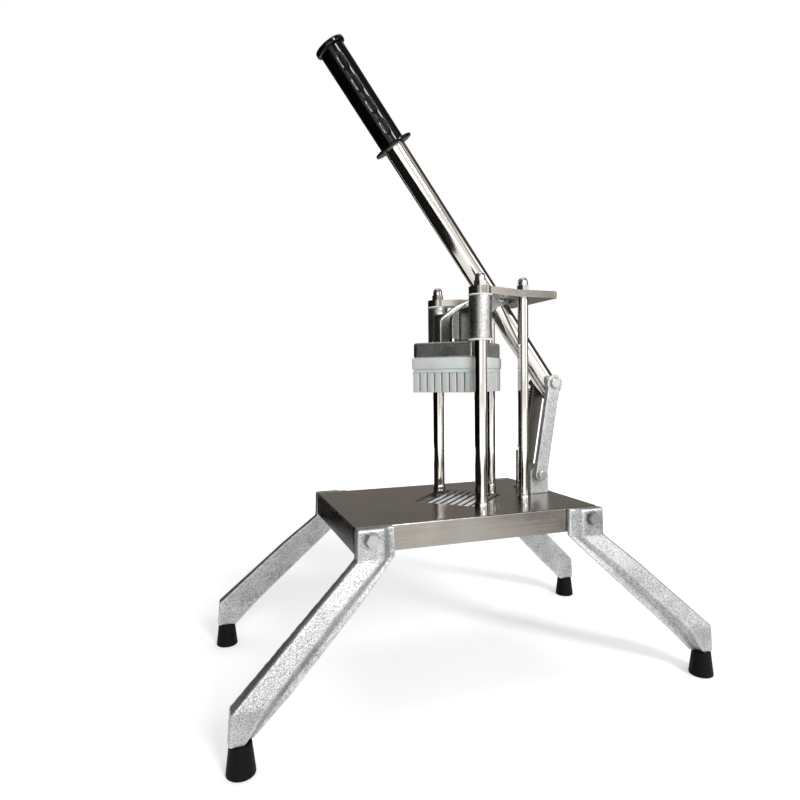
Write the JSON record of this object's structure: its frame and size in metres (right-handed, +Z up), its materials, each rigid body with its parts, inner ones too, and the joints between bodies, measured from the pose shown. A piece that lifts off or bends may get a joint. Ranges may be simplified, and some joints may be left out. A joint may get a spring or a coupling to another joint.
{
  "type": "french fry cutter",
  "caption": "Lever press with a pusher on guide columns that forces a potato through a square knife grid in a tray on splayed cast legs.",
  "frame": {"origin": "on the floor under the middle of the tray", "axes": "+X along the tray towards the rocker links, +Y to the rear, +Z up"},
  "size_m": [0.5676, 0.3116, 0.7622],
  "materials": {
    "brushed_stainless": "brushed, near mirror",
    "polished_steel": "polished",
    "blade_steel": "ground",
    "bright_fasteners": "bright",
    "dark_casting": "rough cast, dark grey",
    "sand_cast_aluminium": "rough sand cast",
    "white_plastic": "translucent, satin",
    "white_nylon": "satin",
    "black_gloss_plastic": "gloss",
    "black_plastic": "satin",
    "black_spring_steel": "blacked",
    "black_rubber": "matte"
  },
  "bodies": {
    "base": {"base_tray": "brushed_stainless", "bracket_screws": "bright_fasteners", "cap_nuts": "bright_fasteners", "column_nuts": "bright_fasteners", "foot_front_left": "black_rubber", "foot_front_right": "black_rubber", "foot_rear_left": "black_rubber", "foot_rear_right": "black_rubber", "foot_studs": "bright_fasteners", "guide_column_front": "polished_steel", "guide_column_rear": "polished_steel", "knife_blades_lower": "blade_steel", "knife_blades_upper": "blade_steel", "knife_frame": "brushed_stainless", "knife_frame_nuts": "bright_fasteners", "knife_frame_studs": "bright_fasteners", "leg_bolts": "bright_fasteners", "leg_front_left": "sand_cast_aluminium", "leg_front_right": "sand_cast_aluminium", "leg_nuts": "bright_fasteners", "leg_rear_left": "sand_cast_aluminium", "leg_rear_right": "sand_cast_aluminium", "leg_washers": "bright_fasteners", "link_base_pin": "bright_fasteners", "link_bracket": "sand_cast_aluminium", "spring_stud": "bright_fasteners", "support_post_front": "polished_steel", "support_post_rear": "polished_steel", "top_bridge": "brushed_stainless"},
    "carriage": {"carriage": "dark_casting", "guide_bushes_front": "white_nylon", "guide_bushes_rear": "white_nylon", "pusher_block": "white_plastic", "pusher_screws": "bright_fasteners", "lever_pivot_bolt": "bright_fasteners"},
    "lever": {"lever_tube": "polished_steel", "lever_pivot_sleeve": "polished_steel", "lever_end_sleeve": "polished_steel", "lever_end_plug": "black_plastic", "lever_grip": "black_gloss_plastic"},
    "links": {"rocker_link_front": "sand_cast_aluminium", "rocker_link_rear": "sand_cast_aluminium", "link_bolt_front": "bright_fasteners", "link_bolt_rear": "bright_fasteners"},
    "spring": {"return_spring": "black_spring_steel"}
  },
  "joints": [
    {"name": "carriage_slide", "type": "slide", "parent": "base", "child": "carriage", "axis": [0, 0, -1], "range_m": [0, 0.148], "stiffness_N_per_m": 150, "springref_m": -0.25},
    {"name": "lever_swing", "type": "hinge", "parent": "carriage", "child": "lever", "pos_m": [0.064, 0, 0.4628], "axis": [0, -1, 0], "range_deg": [0, 59.9]},
    {"name": "link_swing", "type": "hinge", "parent": "base", "child": "links", "pos_m": [0.124, 0, 0.233], "axis": [0, 1, 0], "range_deg": [0, 28.8]},
    {"name": "spring_swing", "type": "hinge", "parent": "base", "child": "spring", "pos_m": [0.126, 0.035, 0.255], "axis": [0, 1, 0], "range_deg": [0, 34.5], "deforming": ["return_spring"]}
  ],
  "couplings": [
    {"joint": "lever_swing", "follows": "carriage_slide", "rad_per_m": 7.0503},
    {"joint": "link_swing", "follows": "carriage_slide", "rad_per_m": 3.3826},
    {"joint": "spring_swing", "follows": "carriage_slide", "rad_per_m": 4.0549}
  ]
}
